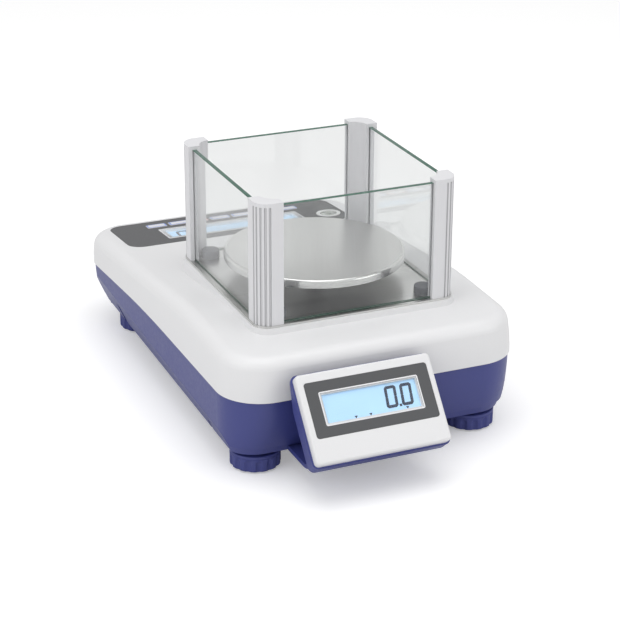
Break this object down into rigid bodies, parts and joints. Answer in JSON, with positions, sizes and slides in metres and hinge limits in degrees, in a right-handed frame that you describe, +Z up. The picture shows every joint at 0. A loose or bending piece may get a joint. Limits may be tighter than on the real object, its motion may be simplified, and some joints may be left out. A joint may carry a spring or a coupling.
{
  "type": "precision balance",
  "caption": "Top-loading laboratory balance: round pan inside a four-pane glass draft shield, sloping operator panel, second display on an arm, screw feet.",
  "frame": {"origin": "on the bench, below the centre of the outline", "axes": "+Z up, +Y from the operator's panel to the second display, +X to the operator's right"},
  "size_m": [0.206, 0.3616, 0.1715],
  "materials": {
    "tray_blue": "fine moulded texture",
    "cover_white": "fine moulded texture",
    "panel_grey": "satin film",
    "window_clear": "clear polished sheet",
    "lcd_blue": "backlit display film",
    "board_green": "solder mask",
    "switch_black": "moulded",
    "level_white": "satin",
    "level_glass": "clear vial",
    "cast_aluminium": "cast, lightly blasted",
    "cell_aluminium": "machined",
    "screw_steel": "zinc plated",
    "support_grey": "die cast",
    "rubber_black": "matt",
    "pan_steel": "brushed top, polished rim",
    "plate_steel": "brushed",
    "port_metal": "nickel plated",
    "shield_glass": "clear float glass with polished green edges",
    "insert_brass": "turned",
    "post_grey": "satin extruded",
    "post_cap_grey": "satin",
    "cap_dark": "matt",
    "foot_blue": "moulded",
    "key_white": "satin film"
  },
  "bodies": {
    "base": {"base_tray": "tray_blue", "top_cover": "cover_white", "panel_overlay": "panel_grey", "panel_window": "window_clear", "main_lcd": "lcd_blue", "main_board": "board_green", "key_switches": "switch_black", "level_cup": "level_white", "level_lens": "level_glass", "load_cell_plate": "cast_aluminium", "load_cell": "cell_aluminium", "load_cell_screws": "screw_steel", "pan_carrier": "cast_aluminium", "pan_support": "support_grey", "pan_buffers": "rubber_black", "shield_plate": "plate_steel", "plate_screws": "screw_steel", "display_bezel": "cover_white", "display_shell": "tray_blue", "display_overlay": "panel_grey", "display_window": "window_clear", "display_lcd": "lcd_blue", "display_board": "board_green", "display_screws": "screw_steel", "housing_screws": "screw_steel", "power_jack": "switch_black", "data_port": "port_metal", "glass_front": "shield_glass", "glass_rear": "shield_glass", "glass_left": "shield_glass", "glass_right": "shield_glass", "foot_inserts": "insert_brass", "shield_post_front_left": "post_grey", "post_cap_front_left": "post_cap_grey", "plate_cap_front_left": "cap_dark", "shield_post_front_right": "post_grey", "post_cap_front_right": "post_cap_grey", "plate_cap_front_right": "cap_dark", "shield_post_rear_left": "post_grey", "post_cap_rear_left": "post_cap_grey", "plate_cap_rear_left": "cap_dark", "shield_post_rear_right": "post_grey", "post_cap_rear_right": "post_cap_grey", "plate_cap_rear_right": "cap_dark"},
    "pan": {"weighing_pan": "pan_steel"},
    "button_1": {"key_1": "key_white"},
    "button_2": {"key_2": "key_white"},
    "button_3": {"key_3": "key_white"},
    "button_4": {"key_4": "key_white"},
    "button_5": {"key_5": "key_white"},
    "button_6": {"key_6": "key_white"},
    "button_7": {"key_7": "key_white"},
    "pad_front_left": {"foot_pad_front_left": "rubber_black"},
    "knob_front_left": {"foot_knob_front_left": "foot_blue"},
    "pad_front_right": {"foot_pad_front_right": "rubber_black"},
    "knob_front_right": {"foot_knob_front_right": "foot_blue"},
    "pad_rear_left": {"foot_pad_rear_left": "rubber_black"},
    "knob_rear_left": {"foot_knob_rear_left": "foot_blue"},
    "pad_rear_right": {"foot_pad_rear_right": "rubber_black"},
    "knob_rear_right": {"foot_knob_rear_right": "foot_blue"}
  },
  "joints": [
    {"name": "pan_lift", "type": "slide", "parent": "base", "child": "pan", "axis": [0, 0, 1], "range_m": [0, 0.12]},
    {"name": "key_1_press", "type": "slide", "parent": "base", "child": "button_1", "axis": [0, 0.0872, -0.9962], "range_m": [0, 0.0005], "stiffness_N_per_m": 250, "springref_m": -0.0012},
    {"name": "key_2_press", "type": "slide", "parent": "base", "child": "button_2", "axis": [0, 0.0872, -0.9962], "range_m": [0, 0.0005], "stiffness_N_per_m": 250, "springref_m": -0.0012},
    {"name": "key_3_press", "type": "slide", "parent": "base", "child": "button_3", "axis": [0, 0.0872, -0.9962], "range_m": [0, 0.0005], "stiffness_N_per_m": 250, "springref_m": -0.0012},
    {"name": "key_4_press", "type": "slide", "parent": "base", "child": "button_4", "axis": [0, 0.0872, -0.9962], "range_m": [0, 0.0005], "stiffness_N_per_m": 250, "springref_m": -0.0012},
    {"name": "key_5_press", "type": "slide", "parent": "base", "child": "button_5", "axis": [0, 0.0872, -0.9962], "range_m": [0, 0.0005], "stiffness_N_per_m": 250, "springref_m": -0.0012},
    {"name": "key_6_press", "type": "slide", "parent": "base", "child": "button_6", "axis": [0, 0.0872, -0.9962], "range_m": [0, 0.0005], "stiffness_N_per_m": 250, "springref_m": -0.0012},
    {"name": "key_7_press", "type": "slide", "parent": "base", "child": "button_7", "axis": [0, 0.0872, -0.9962], "range_m": [0, 0.0005], "stiffness_N_per_m": 250, "springref_m": -0.0012},
    {"name": "foot_travel_front_left", "type": "slide", "parent": "base", "child": "pad_front_left", "axis": [0, 0, -1], "range_m": [-0.001, 0.008]},
    {"name": "foot_turn_front_left", "type": "hinge", "parent": "pad_front_left", "child": "knob_front_left", "pos_m": [-0.073, -0.13529, 0.006], "axis": [0, 0, -1], "range_deg": [-288.5, 2304.5]},
    {"name": "foot_travel_front_right", "type": "slide", "parent": "base", "child": "pad_front_right", "axis": [0, 0, -1], "range_m": [-0.001, 0.008]},
    {"name": "foot_turn_front_right", "type": "hinge", "parent": "pad_front_right", "child": "knob_front_right", "pos_m": [0.073, -0.13529, 0.006], "axis": [0, 0, -1], "range_deg": [-288.5, 2304.5]},
    {"name": "foot_travel_rear_left", "type": "slide", "parent": "base", "child": "pad_rear_left", "axis": [0, 0, -1], "range_m": [-0.001, 0.008]},
    {"name": "foot_turn_rear_left", "type": "hinge", "parent": "pad_rear_left", "child": "knob_rear_left", "pos_m": [-0.0773, 0.10461, 0.006], "axis": [0, 0, -1], "range_deg": [-288.5, 2304.5]},
    {"name": "foot_travel_rear_right", "type": "slide", "parent": "base", "child": "pad_rear_right", "axis": [0, 0, -1], "range_m": [-0.001, 0.008]},
    {"name": "foot_turn_rear_right", "type": "hinge", "parent": "pad_rear_right", "child": "knob_rear_right", "pos_m": [0.0773, 0.10461, 0.006], "axis": [0, 0, -1], "range_deg": [-288.5, 2304.5]}
  ],
  "couplings": [
    {"joint": "foot_turn_front_left", "follows": "foot_travel_front_left", "rad_per_m": 5026.5},
    {"joint": "foot_turn_front_right", "follows": "foot_travel_front_right", "rad_per_m": 5026.5},
    {"joint": "foot_turn_rear_left", "follows": "foot_travel_rear_left", "rad_per_m": 5026.5},
    {"joint": "foot_turn_rear_right", "follows": "foot_travel_rear_right", "rad_per_m": 5026.5}
  ]
}
